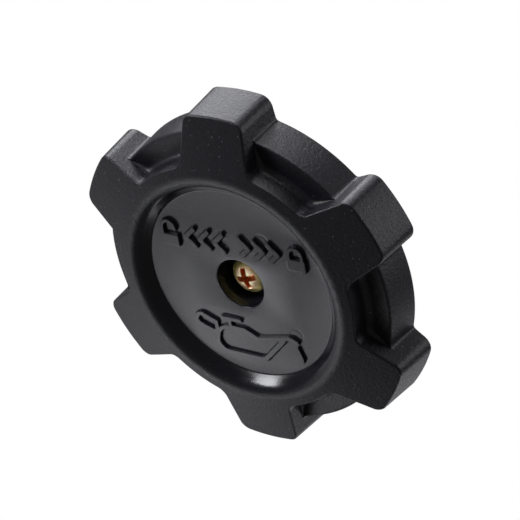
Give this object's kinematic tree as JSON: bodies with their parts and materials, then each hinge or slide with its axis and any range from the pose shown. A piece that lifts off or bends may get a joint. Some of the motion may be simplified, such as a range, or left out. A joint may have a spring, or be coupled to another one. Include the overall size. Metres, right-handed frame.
{
  "type": "oil filler cap",
  "caption": "Twist-on cap for an engine's oil filler neck: lobed black knob with a dished face, centre screw, sealing gasket and a sprung lock plate underneath.",
  "frame": {"origin": "on the cap's axis, in the sealing plane (the underside of the gasket)", "axes": "+Z along the cap's axis, up through the knob's face; +Y through one lobe; the lock plate's lugs lie along X"},
  "size_m": [0.0668, 0.0716, 0.0316],
  "materials": {
    "black_plastic": "fine-grained black moulding, satin in the dish",
    "yellow_zinc_screw": "yellow-passivated zinc",
    "yellow_zinc_pressing": "yellow-passivated zinc on pressed sheet",
    "steel": "plain bright steel",
    "seal_rubber": "matt black rubber",
    "white_nylon": "natural nylon"
  },
  "bodies": {
    "cap": {"grip_knob": "black_plastic", "centre_screw": "yellow_zinc_screw", "screw_seal": "seal_rubber", "gasket": "seal_rubber", "spacer_sleeve": "steel", "lock_spring": "steel", "spring_cup": "yellow_zinc_pressing", "lock_nut": "yellow_zinc_screw", "nut_insert": "white_nylon"},
    "plate": {"lock_plate": "yellow_zinc_pressing"}
  },
  "joints": [
    {"name": "lock_plate_slide", "type": "slide", "parent": "cap", "child": "plate", "axis": [0, 0, 1], "range_m": [-0.002, 0], "stiffness_N_per_m": 3000, "springref_m": 0.005, "deforming": ["lock_spring"]}
  ]
}
